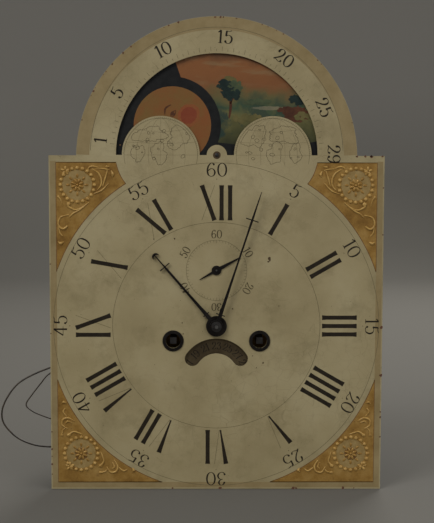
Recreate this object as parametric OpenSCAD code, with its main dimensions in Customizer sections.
// Tall case clock out of its case: painted moon dial and eight-day striking movement on a seatboard.
// Millimetres. The dial faces -Y, +X is the viewer's right, and the origin is the middle of the
// seatboard's underside. Dial bearings are measured anticlockwise from 3 o'clock.

/* [Dial] */
// Side of the square part of the dial
dial_size = 330; // [326:1:350]
// Thickness of the dial plate
dial_t = 1.6; // [1.2:0.1:2.2]
// Height of the square part's top edge above the centre of the hands
dial_up = 168.5; // [167:0.5:172]
// Outer radius of the arch
arch_r = 138; // [132:1:144]
// Drop of the arch's own centre below the moon disc's centre
arch_drop = 3.5; // [2:0.5:5]
// Height of the centre of the hands above the seatboard's underside
dial_cz = 93; // [92:0.5:96]
// Space between the dial and the front plate
dial_gap = 30; // [29:0.5:34]
// Diameter of the bevelled edge of each winding hole
grommet_d = 21; // [18:0.5:22]
// Diameter of each winding hole
wind_hole_d = 14.6; // [12:0.2:16]
// Diameter of the hole for the hour pipe
centre_hole_d = 13; // [12.4:0.2:15]
// Height of the moon disc's centre above the centre of the hands
moon_rise = 169; // [167:0.5:172]
// Radius of the moon aperture
aperture_r = 99; // [95:0.5:99]
// Radius of each painted hemisphere
hump_r = 38.2; // [36:0.2:39]
// Distance of each hemisphere's centre from the moon disc's centre
hump_x = 55; // [53:0.5:57]
// Drop from the centre of the hands to the centre of the date disc
date_drop = 49; // [48:0.5:50]
// Mean radius of the calendar mouth
mouth_r = 28.8; // [27:0.2:30]
// Width of the calendar mouth
mouth_w = 15.2; // [12:0.2:16]
// Half angle of the calendar mouth
mouth_a = 56; // [45:1:60]

/* [Frame] */
// Width of the movement's plates
plate_w = 156; // [154:1:162]
// Height of the plates' top edges above the pallet arbor
plate_over = 15.6; // [14:0.2:20]
// Thickness of the movement's plates
plate_t = 3; // [2.5:0.1:3.6]
// Space between the plates
plate_gap = 62; // [62:0.5:66]
// Length of the seatboard
board_l = 280; // [270:1:290]
// Depth of the seatboard
board_d = 100; // [96:1:110]
// Thickness of the seatboard
board_t = 20; // [18:0.5:20]
// Diameter of the pillars
pillar_d = 10; // [8:0.5:11]
// Running clearance of pivots and pipes, on the radius
run_c = 0.05; // [0.03:0.01:0.08]

/* [Going train] */
// Distance of the winding squares from the centre line
wind_x = 43; // [42:0.5:44]
// Drop of the winding squares below the centre of the hands
wind_drop = 15; // [14:0.5:16]
// Height of the seconds arbor above the centre of the hands
second_rise = 55.4; // [54:0.2:57]
// Width across the flats of the winding squares
square_w = 6.4; // [5:0.1:7]
// Diameter of the barrels
barrel_d = 40; // [36:0.5:42]
// Length of the barrels between their flanges
barrel_l = 40; // [40:0.5:41]
// Radius of the escape wheel
escape_r = 16; // [14:0.5:17]
// Distance from the escape wheel to the pallet arbor
pallet_rise = 24; // [23:0.5:25]
// Thickness of the great wheels
great_t = 3; // [2.4:0.1:3.2]
// Thickness of the smaller wheels
wheel_t = 1.6; // [1.2:0.1:2]

/* [Striking] */
// Module of the striking great wheel
strike_m = 0.94; // [0.93:0.01:0.95]
// Module of the pin wheel
pin_m = 0.62; // [0.58:0.01:0.63]
// Module of the upper striking wheels
upper_m = 0.6; // [0.57:0.01:0.61]
// Radius of the circle of lifting pins
pin_ring_r = 16; // [15:0.25:16.5]
// Radius of the bell's mouth
bell_r = 48; // [46:0.5:50]
// Height of the bell
bell_h = 36; // [34:0.5:40]
// Wall of the bell
bell_t = 2; // [1.6:0.1:2.4]
// Width across the fly
fly_w = 26; // [22:0.5:27]

/* [Hands] */
// Length of the minute hand
minute_l = 140; // [130:1:145]
// Length of the hour hand
hour_l = 95; // [88:1:100]
// Length of the seconds hand
second_l = 27; // [22:0.5:29]
// Bearing of the minute hand, clockwise from 12
minute_a = 18.3; // [0:0.1:30]
// Bearing of the hour hand, clockwise from 12
hour_a = 319; // [300:1:340]
// Bearing of the seconds hand, clockwise from 12
second_a = 61; // [0:1:359]
// Thickness of the hands
hand_t = 1.2; // [1:0.1:1.4]

/* [Lines] */
// Diameter of the gut lines
line_d = 1.8; // [1.6:0.1:1.9]
// Turns of line on each barrel
line_turns = 15; // [12:1:16]
// Pitch of the turns of line
line_pitch = 2.4; // [2.35:0.05:2.45]
// Diameter of the thin tail of line
tail_d = 1.4; // [1.2:0.1:1.6]

/* [Hidden] */
$fn = 48;

// Colours
brass = "#b5904a";
steel = "#7d7f82";
blued = "#2c2a2a";
cream = "#c9bd92";
wood_c = "#6b4a2e";
gut_c = "#4a3b26";
navy = "#1d2430";

// Planes along Y: plates, dial and the layers of work between them
plate_h = dial_cz + second_rise + pallet_rise + plate_over - board_t;
in_y = plate_gap / 2;
fy = -in_y - plate_t;
by = in_y + plate_t;
dial_by = fy - dial_gap;
dial_fy = dial_by - dial_t;
great_y = -in_y + 4;
ratchet_y = great_y + great_t + 0.3;
ratchet_t = 2.5;
flange_t = 2;
drum_y = ratchet_y + ratchet_t + 0.4 + flange_t;
third_y = 14;
pin_wheel_y = -4;
gathering_y = 10;
warning_y = -20;
escape_y = 20;
centre_y = in_y - 6;
cannon_y = fy - 3;
rack_y = fy - 5.5;
rack_t = 2;
bridge_y = fy - 7;
bridge_t = 1.5;
hour_y = fy - 10.5;
motion_t = 1.5;
snail_y = fy - 13;
snail_t = 2;
tail_y = fy - 15.3;
day_y = fy - 18.5;
disc_y = dial_by + 1.2;
disc_t = 1;
seconds_y = dial_fy - 1;
hour_hand_y = dial_fy - 1.6 - hand_t;
minute_hand_y = hour_hand_y - 2.8 - hand_t;

// Arbor places as [x, z], worked out from the wheel counts and modules
fit = 0.02;
pivot_r = 1;
C = [0, dial_cz];
GB = [wind_x, dial_cz - wind_drop];
SB = [-wind_x, dial_cz - wind_drop];
E = [0, dial_cz + second_rise];
PA = E + [0, pallet_rise];
going_m = dist(GB, C) * 2 / 104;
third_m = second_rise * 1.03 / 65.5;
T = meet(C, E, 34 * third_m, 31.5 * third_m);
PW = SB + polar(46 * strike_m, 77.4);
GA = PW + polar(36 * pin_m, 107.4);
WA = GA + polar(31.5 * upper_m, 32.3);
FA = WA + polar(27 * upper_m, 137.8);
HA = PW + [-33, 5];
motion_m = 0.75;
MW = C + polar(36 * motion_m, 60);
hour_m = 36 * motion_m / 39;
day_m = 0.5;
date_r = 41;
day_finger_r = 9.8;
DW = meet(C, [0, dial_cz - date_drop], 45 * day_m, date_r + day_finger_r + 1.2);
DD = [0, dial_cz - date_drop];
MD = [0, dial_cz + moon_rise];
moon_r = aperture_r + 6;
rack_p = [-60, dial_cz - 33];
rack_r = dist(rack_p, GA) - 4.1;
rack_pitch = 1.67;
hook_p = GA + [-26, 8];
lift_p = [46, dial_cz + 34];
lever_p = [46, dial_cz + 42];

// Distance, polar place, and the third corner of a triangle to the right of a to b
function dist(a, b) = norm(b - a);
function polar(r, a) = [r * cos(a), r * sin(a)];
function bearing(a, b) = atan2(b[1] - a[1], b[0] - a[0]);
function meet(a, b, ra, rb) = a + polar(ra, bearing(a, b)
    - acos((ra * ra + pow(dist(a, b), 2) - rb * rb) / (2 * ra * dist(a, b))));

// Tooth outlines: r0 root, r1 pitch, r2 tip, with half widths as shares of the pitch angle
function tooth(n, r0, r1, r2, w0, w1, w2) = [for (i = [0:n - 1])
    for (q = [[r0, -w0], [r1, -w1], [r2, -w2], [r2, w2], [r1, w1], [r0, w0]])
        polar(q[0], (i + q[1]) * 360 / n)];
function wheel_pts(m, n) = tooth(n, (n / 2 - 1.3) * m, (n / 2 + 0.1) * m, (n / 2 + 0.9) * m,
    0.24, 0.19, 0.08);
function pinion_pts(m, n) = tooth(n, (n / 2 - 1.5) * m, n / 2 * m, (n / 2 + 0.5) * m,
    0.12, 0.14, 0.06);

// A flat outline laid at p = [x, z], from y to y + t
module lay(p, y, t) {
    translate([p[0], y + t, p[1]]) rotate([90, 0, 0]) linear_extrude(t) children();
}
// A round bar along Y from y0 to y1
module bar(p, y0, y1, r) {
    translate([p[0], y1, p[1]]) rotate([90, 0, 0]) cylinder(h = y1 - y0, r = r);
}
// A wheel blank's crossings: what is cut away between hub, rim and arms
module crossings(hub, rim, arms, arm_w) {
    difference() {
        circle(rim);
        circle(hub);
        for (i = [0:arms - 1]) rotate(i * 360 / arms) translate([0, -arm_w / 2]) square([rim + 1, arm_w]);
    }
}
// A crossed-out toothed wheel with its bore
module wheel(p, y, t, m, n, phase, bore, arms = 4, arm_w = 2.2, rim_w = 2.2) {
    hub = max(bore + 2.5, n * m * 0.12);
    lay(p, y, t) difference() {
        rotate(phase) polygon(wheel_pts(m, n));
        circle(bore);
        rotate(phase) crossings(hub, (n / 2 - 1.3) * m - rim_w, arms, arm_w);
    }
}
module pinion(p, y0, y1, m, n, phase) {
    lay(p, y0, y1 - y0) rotate(phase) polygon(pinion_pts(m, n));
}
// A bar along Y with steps: each row is [y0, y1, radius]
module stepped(p, rows) {
    for (s = rows) bar(p, s[0], s[1], s[2]);
}
// Rows of an upper-train arbor between the plates, with its two pivots
function plain_rows(r) = [[-in_y - plate_t + 0.2, -in_y + 0.2, pivot_r], [-in_y + 0.2, in_y - 0.2, r],
    [in_y - 0.2, in_y + plate_t - 0.2, pivot_r]];

// Tubes swept along points, with rings square to the path
function unit(v) = v / norm(v);
function way(p, i) = unit(p[min(i + 1, len(p) - 1)] - p[max(i - 1, 0)]);
function ring(c, t, r, n) = let (u = unit(cross(t, [0, 1, 0])), v = cross(t, u))
    [for (k = [0:n - 1]) c + r * (cos(k * 360 / n) * u + sin(k * 360 / n) * v)];
module tube(p, r, n) {
    m = len(p);
    polyhedron(
        [for (i = [0:m - 1]) each ring(p[i], way(p, i), r, n)],
        [for (k = [1:n - 2]) [0, k, k + 1],
         for (i = [0:m - 2]) for (k = [0:n - 1]) let (a = i * n + k, b = i * n + (k + 1) % n)
             each [[a, a + n, b], [b, a + n, b + n]],
         for (k = [1:n - 2]) [(m - 1) * n, (m - 1) * n + k + 1, (m - 1) * n + k]]);
}
// Points halfway between hand-chosen ones, on a smooth curve through them
function smooth(p) = [for (i = [0:len(p) - 2]) each [p[i], (9 * (p[i] + p[i + 1])
    - p[max(i - 1, 0)] - p[min(i + 2, len(p) - 1)]) / 16], p[len(p) - 1]];

// Route of the striking line from its barrel, out past the dial and back to its hole in the board
gut_r = barrel_d / 2 + 0.3 + line_d / 2;
gut_front_y = drum_y + 2.2;
strike_route = [
    [-48, -16.6, 56.8], [-62, -16.6, 56.8], [-84, -17, 56.6], [-108, -19, 56], [-132, -21, 54],
    [-154, -24, 49.5], [-173, -26, 43], [-189, -28, 36.5], [-203, -30, 28], [-213, -32, 15.5],
    [-219, -32, 2], [-219, -30, -11], [-212, -28.5, -22], [-202, -26, -31], [-187, -22, -38],
    [-170, -17, -41], [-152, -11, -41.5], [-136, -6, -38], [-123, -3, -31], [-114.5, -1, -21],
    [-110.5, 0, -10], [-110, 0, 0], [-110, 0, 10], [-110, 0, 20.3]];
going_route = [
    [48, -16.6, 56.8], [64, -16.6, 56.6], [86, -15, 56], [108, -12, 54], [128, -9, 49],
    [144, -6, 38], [151, -4, 23], [152, -3, 7], [148, -2, -9], [139, -1, -21],
    [125, 0, -24], [113, 0, -15], [110, 0, -3], [110, 0, 9], [110, 0, 20.3]];
tail_route = [
    [-113.2, -1, 23.5], [-124, -6, 27], [-138, -16, 36], [-150, -26, 42.5], [-161, -32.5, 43.5],
    [-171.6, -36, 38.2], [-178, -36, 30.6], [-184, -36, 23], [-190, -36, 15], [-193.6, -36, 9.6],
    [-193.4, -36, 5.4], [-189, -36, 1.6], [-183.8, -36, -1.4], [-172, -36, -6],
    [-160, -35.5, -9.5], [-149, -35, -12]];
knot_r = 3.4;

// One unbroken helix of line on a barrel, leaving tangentially at the bottom towards side
function helix_pts(p, side) = let (k = 24, n = line_turns * k) [
    for (i = [0:n]) let (a = -90 - side * 90 + side * 90 - side * (n - i) * 360 / k)
        [p[0] + gut_r * cos(a), gut_front_y + line_pitch * (n - i) / k, p[1] + gut_r * sin(a)]];
function wound(p, side) = let (h = helix_pts(p, side), n = len(h), a = h[0], b = h[n - 1])
    [a - unit(h[1] - a) * line_d, each h, b + [side * 5, 0, 0]];
function self_gap(h) = min([for (i = [0:len(h) - 25]) norm(h[i + 24] - h[i])]) - line_d;
echo(gap_between_turns_of_line = self_gap(helix_pts(SB, -1)));

// Outline of the dial: a square with an arch, less its openings
module mouth_outline() {
    half_w = mouth_w / 2;
    end_l = polar(mouth_r, 90 + mouth_a);
    end_r = polar(mouth_r, 90 - mouth_a);
    polygon([for (i = [0:20]) polar(mouth_r + half_w, 90 - mouth_a + i * mouth_a / 10),
        for (i = [1:9]) end_l + polar(half_w, 90 + mouth_a + i * 18),
        for (i = [0:20]) polar(mouth_r - half_w, 90 + mouth_a - i * mouth_a / 10),
        for (i = [1:9]) end_r + polar(half_w, 270 - mouth_a + i * 18)]);
}
module aperture_outline() {
    difference() {
        intersection() {
            circle(aperture_r);
            translate([-aperture_r, 0]) square([2 * aperture_r, aperture_r]);
        }
        for (s = [-1, 1]) translate([s * hump_x, 0]) circle(hump_r);
        circle(10);
    }
}
module dial_plate() {
    color(cream) lay([0, 0], dial_fy, dial_t) difference() {
        union() {
            translate(C - [dial_size, dial_size] / 2) square([dial_size, dial_size / 2 + dial_up]);
            translate([0, MD[1] - arch_drop]) circle(arch_r);
        }
        translate(C) circle(d = centre_hole_d);
        translate(E) circle(r = 2.2);
        for (p = [GB, SB]) translate(p) circle(d = wind_hole_d);
        translate(DD) mouth_outline();
        translate(MD) aperture_outline();
    }
}

// Feet of the dial, which pass through the front plate and are pinned behind it
foot_x = plate_w / 2 - 8;
foot_places = [for (s = [-1, 1]) for (z = [board_t + 14, board_t + plate_h - 20]) [s * foot_x, z]];
foot_r = 3;
pillar_places = [[-40, board_t + pillar_d / 2 + 3], [40, board_t + pillar_d / 2 + 3],
    [-52, board_t + plate_h - 9], [60, board_t + plate_h - 9]];
module dial_feet() {
    color(steel) for (p = foot_places) difference() {
        union() {
            bar(p, dial_by, dial_by + 2, foot_r + 2);
            bar(p, dial_by + 2, fy, foot_r + 1);
            bar(p, fy, -in_y + 5, foot_r - run_c);
        }
        translate([p[0], -in_y + 1.2, p[1]]) cylinder(h = 20, r = 0.8, center = true);
    }
}
module taper_pins() {
    color(steel) {
        for (p = foot_places) translate([p[0], -in_y + 1.2, p[1]])
            cylinder(h = 13, r = 0.8 - fit, center = true);
        for (p = pillar_places) translate([p[0], fy - 1.2, p[1]])
            cylinder(h = 14, r = 0.8 - fit, center = true);
    }
}
module winding_grommets() {
    color(blued) for (p = [GB, SB]) difference() {
        bar(p, dial_fy - 0.8, dial_fy, grommet_d / 2);
        bar(p, dial_fy - 1, dial_fy + 1, wind_hole_d / 2);
    }
}

// Studs on the back of the dial: moon disc, date disc, day wheel and moon lever
stud_places = [MD, DD, DW, lever_p];
stud_ends = [disc_y + disc_t + 0.3, disc_y + disc_t + 0.3, day_y + motion_t + 0.3, day_y + motion_t + 0.3];
stud_r = [3, 2.5, 1.6, 1.8];
module dial_studs() {
    color(brass) for (i = [0:3]) {
        bar(stud_places[i], dial_by, (i < 2 ? disc_y : day_y) - 0.2, stud_r[i] + 1.6);
        bar(stud_places[i], dial_by, stud_ends[i] + 1.2, stud_r[i]);
        difference() {
            bar(stud_places[i], stud_ends[i], stud_ends[i] + 1, stud_r[i] + 2);
            bar(stud_places[i], stud_ends[i] - 1, stud_ends[i] + 3, stud_r[i] + fit);
        }
    }
}

// Ratchet-toothed discs moved once or twice a day: pointed teeth round the rim
module toothed_disc(p, n, r, depth, hole) {
    lay(p, disc_y, disc_t) difference() {
        polygon([for (i = [0:n - 1]) each [polar(r - depth, (i + 0.5) * 360 / n),
            polar(r, (i + 0.86) * 360 / n), polar(r, (i + 1.14) * 360 / n)]]);
        circle(hole);
    }
}
module moon_disc() {
    color(navy) toothed_disc(MD, 118, moon_r, 2, stud_r[0] + run_c);
}
module date_disc() {
    color(steel) toothed_disc(DD, 31, date_r, 2.4, stud_r[1] + run_c);
}
module jumper_springs() {
    moon_tip = MD + polar(moon_r + 0.5, -35);
    moon_foot = MD + polar(moon_r + 12, -64);
    date_tip = DD + polar(date_r + 0.5, -90);
    date_foot = DD + polar(date_r + 9, -50);
    color(blued) for (q = [[moon_tip, moon_foot, moon_r, MD], [date_tip, date_foot, date_r, DD]]) {
        lay([0, 0], disc_y - 0.2, 1.4) difference() {
            union() {
                strip([q[0] + unit(q[0] - q[3]) * 1.2, q[1]], 1.6);
                polygon([q[0], q[0] + unit(q[1] - q[0]) * 3 + unit(q[0] - q[3]) * 1.4,
                    q[0] - unit(q[1] - q[0]) * 0.4 + unit(q[0] - q[3]) * 2]);
                translate(q[1]) circle(4);
            }
            translate(q[3]) circle(q[2] + 0.4);
        }
        bar(q[1], dial_by, disc_y - 0.2, 3);
        bar(q[1], disc_y + 1.2, disc_y + 2.6, 2.4);
    }
}
// A flat strip with round ends along points, w wide
module strip(p, w) {
    for (i = [0:len(p) - 2]) {
        translate(p[i]) rotate(bearing(p[i], p[i + 1])) translate([0, -w / 2])
            square([dist(p[i], p[i + 1]), w]);
        translate(p[i]) circle(d = w + 0.3);
    }
    translate(p[len(p) - 1]) circle(d = w + 0.3);
}

// The lever that steps the moon disc: a heel by the hour work and a pawl by the moon's teeth
module moon_lever() {
    heel = C + polar(10.2, 50);
    pawl = MD + polar(moon_r + 1.2, bearing(MD, lever_p) - 6);
    color(brass) lay([0, 0], day_y, motion_t) difference() {
        union() {
            strip([heel, lever_p], 3);
            strip([lever_p, pawl + unit(lever_p - pawl) * 3], 3);
            translate(lever_p) circle(5);
        }
        translate(lever_p) circle(stud_r[3] + run_c);
    }
    color(brass) bar(pawl + unit(lever_p - pawl) * 3, disc_y + 0.1, day_y, 1.2);
}
module day_wheel() {
    a = bearing(C, DW);
    color(brass) {
        wheel(DW, day_y, motion_t, day_m, 60, a + 180 + 3, stud_r[2] + run_c, 4, 2.2, 6);
        bar(DW + polar(day_finger_r, 200), disc_y - 0.2, day_y, 0.8);
    }
}

// The plates: pivot holes for every arbor, and the larger holes that arbors pass through
small_pivots = [T, E, PW, GA, WA, FA, HA];
centre_r = 2.2;
square_r = square_w * 0.7072 + 0.1;
module plate_outline() {
    translate([-plate_w / 2, board_t]) square([plate_w, plate_h]);
}
module front_plate() {
    color(brass) lay([0, 0], fy, plate_t) difference() {
        plate_outline();
        for (p = concat(small_pivots, [PA])) translate(p) circle(pivot_r + run_c);
        for (p = [GB, SB]) translate(p) circle(square_r + run_c);
        translate(C) circle(centre_r + run_c);
        for (p = foot_places) translate(p) circle(foot_r);
        for (p = pillar_places) translate(p) circle(3);
        for (i = [0:4]) translate(post_places[i]) circle(post_r[i] - fit);
        for (s = [-1, 1]) translate(C + [s * 20, 0]) circle(1.2);
    }
}
module back_plate() {
    color(brass) lay([0, 0], in_y, plate_t) difference() {
        plate_outline();
        for (p = small_pivots) translate(p) circle(pivot_r + run_c);
        for (p = [GB, SB]) translate(p) circle(square_r + run_c);
        translate(C) circle(centre_r + run_c);
        translate(PA) circle(6);
        for (p = pillar_places) translate(p) circle(3);
        for (s = [-1, 1]) translate([s * cock_foot_x, PA[1]]) circle(1.5);
        translate([stand_x, board_t + plate_h - 8]) circle(1.5);
    }
}
// Turned pillars, riveted in the back plate and pinned in front of the front plate
module plate_pillars() {
    r = pillar_d / 2;
    color(brass) for (p = pillar_places) difference() {
        union() {
            translate([p[0], in_y, p[1]]) rotate([90, 0, 0]) rotate_extrude() polygon([
                [0, 0], [r, 0], [r, 5], [r - 1.4, 6.5], [r - 1.4, 26], [r + 0.6, 28], [r + 0.6, 34],
                [r - 1.4, 36], [r - 1.4, plate_gap - 6.5], [r, plate_gap - 5], [r, plate_gap],
                [0, plate_gap]]);
            bar(p, in_y, by, 3 - fit);
            bar(p, fy - 3, -in_y, 3 - fit);
        }
        translate([p[0], fy - 1.2, p[1]]) cylinder(h = 20, r = 0.8, center = true);
        if (p[1] < dial_cz) translate([p[0], 0, board_t]) cylinder(h = 7, r = 1.5);
    }
}

// The seatboard: slots for the lines, holes for their ends, and a notch for the pendulum
line_slot_x = wind_x + barrel_d / 2 + 1;
knot_x = 110;
notch_w = 26;
module seatboard() {
    color(wood_c) difference() {
        translate([-board_l / 2, -board_d / 2, 0]) cube([board_l, board_d, board_t]);
        for (s = [-1, 1]) {
            translate([s * line_slot_x - 4.5, -20, -1]) cube([9, 40, board_t + 2]);
            for (y = [-20, 20]) translate([s * line_slot_x, y, -1]) cylinder(h = board_t + 2, r = 4.5);
            translate([s * knot_x, 0, -1]) cylinder(h = board_t + 2, r = line_d / 2 + 1.2);
            translate([s * 40, 0, -1]) cylinder(h = board_t + 2, r = 2.2);
            translate([s * 40, 0, -1]) cylinder(h = 6, r = 6);
        }
        translate([-notch_w / 2, board_d / 2 - 14, -1]) cube([notch_w, 20, board_t + 2]);
    }
}

// Slotted screws along an axis that ends under the head
module screw(len, r, head_r, head_h) {
    cylinder(h = len, r = r);
    translate([0, 0, -head_h]) difference() {
        cylinder(h = head_h, r = head_r);
        translate([-head_r - 1, -0.5, -0.01]) cube([2 * head_r + 2, 1, head_h * 0.45]);
    }
}
cock_foot_x = 22;
cock_y = by + 16;
stand_x = -34;
module steel_screws() {
    color(blued) {
        for (s = [-1, 1]) translate([s * 40, 0, 5]) screw(board_t - 5 + 6, 1.5 - fit, 5, 3);
        for (s = [-1, 1]) translate([s * cock_foot_x, cock_y + 3, PA[1]])
            rotate([90, 0, 0]) screw(22, 1.5 - fit, 3, 2);
        translate([stand_x, by + 3, board_t + plate_h - 8]) rotate([90, 0, 0]) screw(6, 1.5 - fit, 3, 2);
        for (s = [-1, 1]) translate([C[0] + s * 20, bridge_y, C[1]]) rotate([-90, 0, 0])
            screw(9.5, 1.2 - fit, 2.4, 1.2);
        translate([bell_c[0], bell_c[1], bell_top + 0.1]) rotate([180, 0, 0]) screw(8, 1.5 - fit, 4, 3);
    }
}
module back_cock() {
    color(brass) difference() {
        union() {
            translate([-cock_foot_x - 6, cock_y, PA[1] - 7]) cube([2 * cock_foot_x + 12, 3, 14]);
            for (s = [-1, 1]) translate([s * cock_foot_x - 6, by, PA[1] - 7]) cube([12, cock_y - by, 14]);
            translate([-6, cock_y, PA[1] + 6]) cube([12, 3, 12]);
            translate([-6, cock_y, PA[1] + 12]) cube([12, 11, 6]);
        }
        bar(PA, cock_y - 1, cock_y + 4, pivot_r + run_c);
        for (s = [-1, 1]) bar([s * cock_foot_x, PA[1]], by - 1, cock_y + 4, 1.5);
        translate([-3, cock_y + 6.5, PA[1] + 11]) cube([10, 0.6, 9]);
    }
}

// The bell, on a stand that stands inside its mouth, and the hammer beside it
bell_c = [-10, 8];
bell_z = board_t + plate_h + 8;
bell_top = bell_z + bell_h;
module bell() {
    color("#a08a55") translate([bell_c[0], bell_c[1], bell_z]) difference() {
        rotate_extrude($fn = 72) difference() {
            bell_section(bell_r, bell_h);
            bell_section(bell_r - bell_t, bell_h - bell_t);
        }
        translate([0, 0, bell_h - 6]) cylinder(h = 10, r = 1.7);
    }
}
module bell_section(r, h) {
    polygon([[0, 0], [r, 0], for (i = [0:10]) [r * 0.97 * pow(cos(i * 9), 0.7), 4 + (h - 4) * sin(i * 9)]]);
}
module bell_stand() {
    z = bell_z + 6;
    color(steel) difference() {
        union() {
            translate([stand_x - 5, by, board_t + plate_h - 20])
                cube([10, 3, bell_z + 9 - board_t - plate_h + 20]);
            lay_flat([[stand_x, by + 1.5], bell_c], 7, z, 3);
            translate([bell_c[0], bell_c[1], z]) cylinder(h = bell_h - bell_t - 6.2, r = 4);
            translate([bell_c[0], bell_c[1], z]) cylinder(h = 3, r = 6);
        }
        translate([bell_c[0], bell_c[1], bell_top - 12]) cylinder(h = 12, r = 1.5);
        translate([stand_x, by - 1, board_t + plate_h - 8]) rotate([-90, 0, 0]) cylinder(h = 6, r = 1.5);
    }
}
// A level strip with round ends along points [x, y], w wide, from z to z + t
module lay_flat(p, w, z, t) {
    translate([0, 0, z]) linear_extrude(t) strip(p, w);
}

// The hammer on its arbor, with its tail by the pins of the pin wheel
hammer_y = bell_c[1] - 1.5;
hammer_head_r = 4.5;
tail_end = PW + [-pin_ring_r - 2.2, 1.5];
pins_y = pin_wheel_y - 5;
module hammer() {
    top = [bell_c[0] - bell_r - 1.2, bell_z + 4];
    color(steel) {
        stepped(HA, plain_rows(2.5));
        lay([0, 0], pins_y, 3) difference() {
            strip([HA, tail_end], 2.4);
            translate(HA) circle(2.5);
        }
        lay([0, 0], hammer_y, 3) difference() {
            union() {
                strip([HA, [top[0] - 9, HA[1] + 30], [top[0] - 9, top[1]]], 3);
                translate(HA) circle(4);
            }
            translate(HA) circle(2.5);
        }
    }
    color(brass) translate([top[0] - 17, hammer_y + 1.5, top[1]]) rotate([0, 90, 0])
        cylinder(h = 17, r = hammer_head_r);
}
module hammer_spring() {
    foot = [-plate_w / 2 + 6, HA[1] - 34];
    tip = [HA[0] - 9, HA[1] + 24];
    color(blued) {
        lay([0, 0], hammer_y, 3) strip([foot, [HA[0] - 6.5, HA[1]], tip], 1.4);
        bar(foot, hammer_y + 3, in_y, 3.5);
        bar(foot, hammer_y - 1, hammer_y + 3, 3.5);
    }
}

// Great wheel: turns on the barrel's arbor and carries the click and its spring
ratchet_r = 19;
click_pivot_r = 28;
click_turn = 50;
click_base = [-90, 90];
great_bore = square_r + 0.5;
function click_pivot(p, a) = p + polar(click_pivot_r, a + 3 + click_turn);
module great_wheel(p, m, n, phase, a) {
    q = click_pivot(p, a);
    foot = p + polar(29, a + 150);
    color(brass) {
        wheel(p, great_y, great_t, m, n, phase, great_bore + run_c, 4, 7);
        lay(p, great_y, great_t) difference() {
            circle(32);
            circle(great_bore + run_c);
        }
    }
    color(steel) {
        bar(q, great_y + great_t, ratchet_y + ratchet_t, 1.2);
        lay([0, 0], ratchet_y, 1.6) strip([foot, p + polar(32.5, a + 105), p + polar(33.6, a + 66)], 1.4);
        bar(foot, great_y + great_t, ratchet_y + 2.2, 2.6);
    }
}
module click(p, a) {
    q = click_pivot(p, a);
    color(steel) lay([0, 0], ratchet_y + 0.1, ratchet_t - 0.2) difference() {
        union() {
            polygon([for (s = [[17.3, 1.2], [19.3, 0.6], [23, 4], [26.5, 20], [29, 40], [29, 50], [26, 52],
                [23.5, 30], [20.3, 14], [18.1, 6]]) p + polar(s[0], a + s[1])]);
            translate(q) circle(3.6);
        }
        translate(q) circle(1.2 + run_c);
    }
}
// Barrel: ratchet, flanged drum and arbor in one, with the square for the key in front
module barrel(p, a) {
    end_y = drum_y + barrel_l;
    color(brass) {
        lay(p, ratchet_y, ratchet_t) rotate(a) polygon([for (i = [0:23]) each
            [polar(ratchet_r - 2.5, i * 15 + 0.3), polar(ratchet_r, i * 15 + 14.7)]]);
        bar(p, ratchet_y + ratchet_t, drum_y - flange_t, 12);
        bar(p, drum_y - flange_t, drum_y, barrel_d / 2 + 4);
        bar(p, drum_y, end_y, barrel_d / 2);
        bar(p, end_y, end_y + flange_t, barrel_d / 2 + 4);
    }
    color(steel) {
        bar(p, great_y - 0.3, ratchet_y, great_bore);
        bar(p, great_y - 2.3, great_y - 0.3, 9);
        bar(p, fy, great_y - 2.3, square_r);
        bar(p, end_y + flange_t, in_y - 0.3, square_r + 1.5);
        bar(p, in_y - 0.3, by, square_r);
        translate([p[0] - square_w / 2, dial_fy + 2.2, p[1] - square_w / 2])
            cube([square_w, fy - dial_fy - 2.2, square_w]);
    }
}
module gut(p, side) {
    color(gut_c) tube(wound(p, side), line_d / 2, 6);
}
going_phase = bearing(GB, C);
strike_phase = bearing(SB, PW);
module going_great_wheel() { great_wheel(GB, going_m, 96, going_phase, click_base[0]); }
module going_click() { click(GB, click_base[0]); }
module going_barrel() { barrel(GB, click_base[0]); }
module going_gut() { gut(GB, 1); }
module strike_great_wheel() { great_wheel(SB, strike_m, 84, strike_phase, click_base[1]); }
module strike_click() { click(SB, click_base[1]); }
module strike_barrel() { barrel(SB, click_base[1]); }
module strike_gut() { gut(SB, -1); }

// Free lines, their knots on the seatboard and the thin tail of the striking line
module strike_line_loop() { color(gut_c) tube(smooth(strike_route), line_d / 2, 8); }
module going_line_loop() { color(gut_c) tube(going_route, line_d / 2, 8); }
module strike_line_tail() { color(gut_c) tube(tail_route, tail_d / 2, 8); }
module line_knots() {
    color(gut_c) for (s = [-1, 1]) intersection() {
        translate([s * knot_x, 0, board_t + knot_r + 0.1]) sphere(r = knot_r);
        translate([s * knot_x - 5, -5, board_t + 0.3]) cube(10);
    }
}

// Going train, from the centre arbor up to the escape wheel and the pallets
centre_pinion_r = 2.1;
module centre_arbor() {
    color(steel) {
        difference() {
            bar(C, minute_hand_y - 4.5, fy - 0.4, 1.6);
            translate([0, minute_hand_y - 2.7, C[1]]) rotate([0, 90, 0])
                cylinder(h = 9, r = 0.55 + fit, center = true);
        }
        stepped(C, [[fy - 0.4, -in_y + 0.2, centre_r], [-in_y + 0.2, great_y - 0.8, 3],
            [great_y - 0.8, great_y + great_t + 0.8, centre_pinion_r],
            [great_y + great_t + 0.8, in_y - 0.2, 3], [in_y - 0.2, by - 0.2, centre_r]]);
        pinion(C, great_y - 0.8, great_y + great_t + 0.8, going_m, 8, going_phase + 180 + 22.5);
    }
}
module centre_wheel() {
    color(brass) wheel(C, centre_y, 2, third_m, 60, bearing(C, T), 3 + fit);
}
module third_arbor() {
    color(steel) {
        stepped(T, plain_rows(1.8));
        pinion(T, centre_y - 1.5, centre_y + 3.5, third_m, 8, bearing(C, T) + 180 + 22.5);
    }
}
module third_wheel() {
    color(brass) wheel(T, third_y, wheel_t, third_m, 56, bearing(T, E), 1.8 + fit);
}
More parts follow.
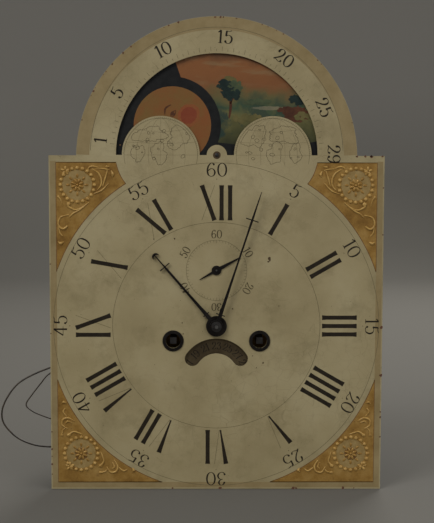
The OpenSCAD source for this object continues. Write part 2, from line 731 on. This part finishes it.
module escape_arbor() {
    color(steel) {
        stepped(E, [[seconds_y - 0.4, fy - 0.4, 0.8], [fy - 0.4, -in_y + 0.2, pivot_r],
            [-in_y + 0.2, in_y - 0.2, 1.6], [in_y - 0.2, by - 0.2, pivot_r]]);
        pinion(E, third_y - 2, third_y + wheel_t + 2, third_m, 7, bearing(T, E) + 180 + 180 / 7);
    }
}
module escape_wheel() {
    color(brass) lay(E, escape_y, 1.4) difference() {
        polygon([for (i = [0:29]) each [polar(escape_r - 3.2, i * 12), polar(escape_r, i * 12 + 0.6),
            polar(escape_r, i * 12 + 1.4), polar(escape_r - 3.2, i * 12 + 4.5)]]);
        circle(1.6 + fit);
        crossings(4.5, escape_r - 5.2, 4, 1.8);
    }
}
// Recoil anchor over the escape wheel, with its arms clear of the teeth all through its swing
module anchor() {
    a = 50;
    tip = polar(escape_r + 1.3, 90 - a) - [0, pallet_rise];
    color(steel) lay(PA, escape_y - 0.6, 2.6) difference() {
        for (s = [0, 1]) mirror([s, 0]) {
            polygon([tip, tip + [3.4, 1.2], [tip[0] + 3.6, -6], [9, 2.5], [0, 4], [0, -3], [8, -4],
                [tip[0] - 1, -8]]);
            circle(4.5);
        }
        circle(2 + fit);
    }
}
crutch_l = 104;
module crutch() {
    y = by + 5;
    color(steel) {
        stepped(PA, [[fy + 0.2, -in_y + 0.2, pivot_r], [-in_y + 0.2, cock_y - 0.3, 2],
            [cock_y - 0.3, cock_y + 2.8, pivot_r]]);
        lay(PA, y, 2) difference() {
            union() {
                strip([[0, 0], [0, -crutch_l]], 3);
                circle(4.5);
            }
            circle(2);
        }
        difference() {
            translate([PA[0] - 5, y, PA[1] - crutch_l - 3]) cube([10, 20, 3]);
            translate([PA[0] - 2.6, y + 5, PA[1] - crutch_l - 4]) cube([5.2, 13, 5]);
        }
    }
}

// Striking train, from the pin wheel up to the fly
module pin_arbor() {
    color(steel) {
        stepped(PW, plain_rows(2));
        pinion(PW, great_y - 0.8, great_y + great_t + 0.8, strike_m, 8, strike_phase + 180 + 22.5);
    }
}
module pin_wheel() {
    color(brass) wheel(PW, pin_wheel_y, wheel_t, pin_m, 64, bearing(PW, GA), 2 + fit, 4, 2.4,
        20 - pin_ring_r + 1.8);
    color(steel) for (i = [0:7]) bar(PW + polar(pin_ring_r, i * 45 + 10), pins_y - 0.5, pin_wheel_y, 0.8);
}
module gathering_arbor() {
    color(steel) {
        stepped(GA, [[rack_y - 1.5, fy - 0.4, 0.9], [fy - 0.4, -in_y + 0.2, pivot_r],
            [-in_y + 0.2, in_y - 0.2, 1.6], [in_y - 0.2, by - 0.2, pivot_r]]);
        pinion(GA, pin_wheel_y - 1.5, pin_wheel_y + wheel_t + 1.5, pin_m, 8, bearing(PW, GA) + 180 + 22.5);
        lay(GA, rack_y, rack_t) difference() {
            union() {
                circle(2.2);
                polygon([[1.8, 0], [0.8, 3.5], [-0.8, 3.5], [-1.8, 0]]);
            }
            circle(0.9);
        }
    }
}
module gathering_wheel() {
    color(brass) wheel(GA, gathering_y, wheel_t, upper_m, 56, bearing(GA, WA), 1.6 + fit, 4, 2);
}
module warning_arbor() {
    color(steel) {
        stepped(WA, plain_rows(1.5));
        pinion(WA, gathering_y - 1.5, gathering_y + wheel_t + 1.5, upper_m, 7,
            bearing(GA, WA) + 180 + 180 / 7);
    }
}
module warning_wheel() {
    color(brass) wheel(WA, warning_y, wheel_t, upper_m, 48, bearing(WA, FA), 1.5 + fit, 4, 1.8);
}
module fly() {
    color(steel) {
        stepped(FA, plain_rows(1.2));
        pinion(FA, warning_y - 1.5, warning_y + wheel_t + 1.5, upper_m, 6, bearing(WA, FA) + 180 + 30);
    }
    color(brass) difference() {
        union() {
            translate([FA[0] - fly_w / 2, -12, FA[1] - 0.4]) cube([fly_w, 18, 0.8]);
            bar(FA, -12, 6, 2);
        }
        bar(FA, -13, 7, 1.2);
    }
}

// Motion work in front of the front plate
pipe_fit = 0.04;
cannon_r = 3;
bridge_r = 3.85;
hour_pipe_r = 5.2;
module cannon_pinion() {
    color(brass) difference() {
        union() {
            lay(C, cannon_y, wheel_t) rotate(bearing(C, MW)) polygon(wheel_pts(motion_m, 36));
            bar(C, minute_hand_y - 0.2, cannon_y + wheel_t, cannon_r);
        }
        bar(C, minute_hand_y - 1, cannon_y + wheel_t + 1, 1.6 + fit);
    }
}
module hour_bridge() {
    color(brass) difference() {
        union() {
            translate([C[0] - 25, bridge_y, C[1] - 5]) cube([50, bridge_t, 10]);
            for (s = [-1, 1]) translate([C[0] + s * 20 - 5, bridge_y, C[1] - 5])
                cube([10, fy - bridge_y, 10]);
            bar(C, fy - 24, bridge_y + bridge_t, bridge_r);
        }
        bar(C, fy - 25, fy, cannon_r + pipe_fit);
        for (s = [-1, 1]) bar(C + [s * 20, 0], bridge_y - 1, fy + 1, 1.2);
    }
}
// Hour wheel on its pipe, with the calendar's driving wheel and the snail of twelve steps
snail_r = 23.5;
snail_step = 1.08;
snail_start = -91;
module snail_outline() {
    polygon([for (k = [0:11]) each [for (j = [0:5])
        polar(snail_r - snail_step * k, snail_start + 30 * k + 6 * j)]]);
}
module hour_wheel() {
    color(brass) difference() {
        union() {
            lay(C, hour_y, motion_t) rotate(bearing(C, MW)) polygon(wheel_pts(hour_m, 72));
            lay(C, snail_y, snail_t) snail_outline();
            lay(C, day_y, motion_t) rotate(bearing(C, DW)) polygon(wheel_pts(day_m, 30));
            bar(C, hour_hand_y, hour_y, hour_pipe_r);
        }
        bar(C, hour_hand_y - 1, hour_y + motion_t + 1, bridge_r + pipe_fit);
    }
}
module minute_wheel() {
    a = bearing(C, MW) + 180;
    color(brass) difference() {
        union() {
            lay(MW, cannon_y, wheel_t) rotate(a + 5) polygon(wheel_pts(motion_m, 36));
            pinion(MW, hour_y - 0.1, cannon_y, hour_m, 6, a + 30);
        }
        bar(MW, hour_y - 1, cannon_y + wheel_t + 1, post_r[0] + run_c);
    }
    color(steel) bar(MW + polar(10.5, 200), bridge_y + 0.3, cannon_y, 0.7);
}

// Posts in the front plate: minute wheel, rack, rack hook, lifting piece and the rack spring's foot
spring_foot = rack_p + [-12, 32];
post_places = [MW, rack_p, hook_p, lift_p, spring_foot];
post_r = [1, 2, 1.6, 1.6, 1.4];
post_front = [hour_y - 0.4, tail_y - 0.4, rack_y - 0.5, rack_y - 3.1, rack_y - 0.3];
post_seat = [fy, rack_y + rack_t + 0.3, rack_y + rack_t + 0.3, rack_y - 0.2, rack_y + 1.4];
module front_posts() {
    color(steel) for (i = [0:4]) {
        bar(post_places[i], post_front[i], in_y * -1, post_r[i] - fit);
        if (i > 0) bar(post_places[i], post_seat[i], fy, post_r[i] + 1.6);
        if (i > 0) bar(post_places[i], post_front[i] - 0.8, post_front[i], post_r[i] + 1.4);
    }
}

// Rack: toothed arm behind, tail with its pin in front of the snail, both on one pipe
rack_teeth = 14;
rack_a = bearing(rack_p, GA);
tail_pin = C + [-2, -25.8];
module rack() {
    pitch_a = rack_pitch / rack_r * 180 / PI;
    first_a = rack_a + 2;
    color(steel) difference() {
        union() {
            lay(rack_p, rack_y, rack_t) {
                polygon([for (i = [0:rack_teeth]) each [polar(rack_r - 1.8, first_a - i * pitch_a),
                    polar(rack_r, first_a - (i + 0.75) * pitch_a),
                    polar(rack_r, first_a - (i + 0.95) * pitch_a)],
                    for (i = [0:6]) polar(rack_r - 6, first_a - (rack_teeth + 1) * pitch_a * (1 - i / 6))]);
                rotate(rack_a - 4) translate([0, -2]) square([rack_r - 3, 4]);
                circle(5);
            }
            bar(rack_p, tail_y, rack_y, 4);
            lay([0, 0], tail_y, 1.5) {
                strip([rack_p, tail_pin], 3);
                translate(rack_p) circle(5);
            }
            bar(tail_pin, tail_y, snail_y + 1.6, 0.8);
        }
        bar(rack_p, tail_y - 1, rack_y + rack_t + 1, post_r[1] + run_c);
    }
}
module rack_spring() {
    color(brass) lay([0, 0], rack_y + 0.2, 1) difference() {
        union() {
            strip([spring_foot, spring_foot + [-1, -22], rack_p + [-7, 3]], 1.2);
            translate(spring_foot) circle(4);
        }
        translate(spring_foot) circle(post_r[4]);
    }
}
// Rack hook: hangs over the rack's teeth just clear of them
module rack_hook() {
    tip = rack_p + polar(rack_r + 0.5, rack_a + 6);
    color(steel) lay([0, 0], rack_y, rack_t) difference() {
        union() {
            strip([hook_p, hook_p + [10, 8], GA + [0, 12], GA + [14, 9]], 3.4);
            polygon([hook_p + [0, -3], tip + [-1.4, 1.4], tip + [0.6, 0.1], tip + [1.5, 4],
                hook_p + [4, 5], hook_p + [-2, 2]]);
            translate(hook_p) circle(4);
        }
        translate(hook_p) circle(post_r[2] + run_c);
    }
}
// Lifting piece: its tail lies by the minute wheel's pin and its arm under the rack hook's end
module lifting_piece() {
    pin = GA + [12.5, 5.8];
    color(steel) {
        lay([0, 0], rack_y - 2.7, rack_t) difference() {
            union() {
                strip([lift_p, [20, lift_p[1] + 13], GA + [12, 1], pin], 3.4);
                strip([lift_p, MW + polar(13.1, 40)], 3);
                translate(lift_p) circle(4.4);
            }
            translate(lift_p) circle(post_r[3] + run_c);
        }
        bar(pin, rack_y - 0.7, rack_y + rack_t, 0.9);
    }
}

// Hands, drawn at 12 and turned to their bearings
module hand(y, t, a) {
    lay(C, y, t) rotate(-a) children();
}
module hour_hand() {
    color(blued) hand(hour_hand_y, hand_t, hour_a) difference() {
        union() {
            circle(10.3);
            polygon([[-2.2, 8], [2.2, 8], [1.5, 24], [1.1, 45], [1.1, 74], [0.6, 82],
                [0.4, hour_l - 1], [-0.4, hour_l - 1], [-0.6, 82], [-1.1, 74], [-1.1, 45],
                [-1.5, 24]]);
            translate([-3.5, 15]) square([7, 1]);
            translate([-6, 77.5]) square([12, 1]);
            difference() {
                translate([0, hour_l - 3.5]) circle(3.6);
                translate([0, hour_l - 5.6]) circle(3.5);
            }
            translate([-0.5, hour_l - 6]) square([1, 4]);
        }
        circle(hour_pipe_r + fit);
    }
}
module minute_hand() {
    color(blued) hand(minute_hand_y, hand_t, minute_a) difference() {
        union() {
            circle(6.6);
            polygon([[-2, 5], [2, 5], [1.4, 30], [0.9, 60], [0.9, 95], [1.1, 110], [0.3, minute_l],
                [-0.3, minute_l], [-1.1, 110], [-0.9, 95], [-0.9, 60], [-1.4, 30]]);
            translate([-4.5, 12]) square([9, 1]);
            translate([-6.4, 110.6]) square([12.8, 1]);
        }
        circle(cannon_r + fit);
    }
}
module seconds_hand() {
    color(blued) lay(E, seconds_y, 0.6) rotate(-second_a) difference() {
        union() {
            circle(4.8);
            polygon([[-1.9, 3], [1.9, 3], [0.5, second_l], [-0.5, second_l]]);
            polygon([[1.5, -3], [-1.5, -3], [-0.3, -19], [0.3, -19]]);
        }
        circle(0.8 + fit);
    }
}
module hand_collet() {
    y = minute_hand_y - 0.2;
    color(steel) {
        difference() {
            union() {
                bar(C, y - 1, y, 5);
                bar(C, y - 1.8, y - 1, 3.6);
            }
            bar(C, y - 3, y + 1, 1.6 + fit);
        }
        translate([0, y - 2.5, C[1]]) rotate([0, 90, 0]) cylinder(h = 9, r = 0.55, center = true);
    }
}

dial_plate();
dial_feet();
winding_grommets();
dial_studs();
jumper_springs();
moon_disc();
moon_lever();
date_disc();
day_wheel();
front_plate();
back_plate();
plate_pillars();
taper_pins();
seatboard();
steel_screws();
back_cock();
bell();
bell_stand();
hammer();
hammer_spring();
going_great_wheel();
going_barrel();
going_click();
going_gut();
going_line_loop();
centre_arbor();
centre_wheel();
third_arbor();
third_wheel();
escape_arbor();
escape_wheel();
anchor();
crutch();
strike_great_wheel();
strike_barrel();
strike_click();
strike_gut();
strike_line_loop();
strike_line_tail();
line_knots();
pin_arbor();
pin_wheel();
gathering_arbor();
gathering_wheel();
warning_arbor();
warning_wheel();
fly();
cannon_pinion();
hour_bridge();
hour_wheel();
minute_wheel();
front_posts();
rack();
rack_spring();
rack_hook();
lifting_piece();
hour_hand();
minute_hand();
seconds_hand();
hand_collet();
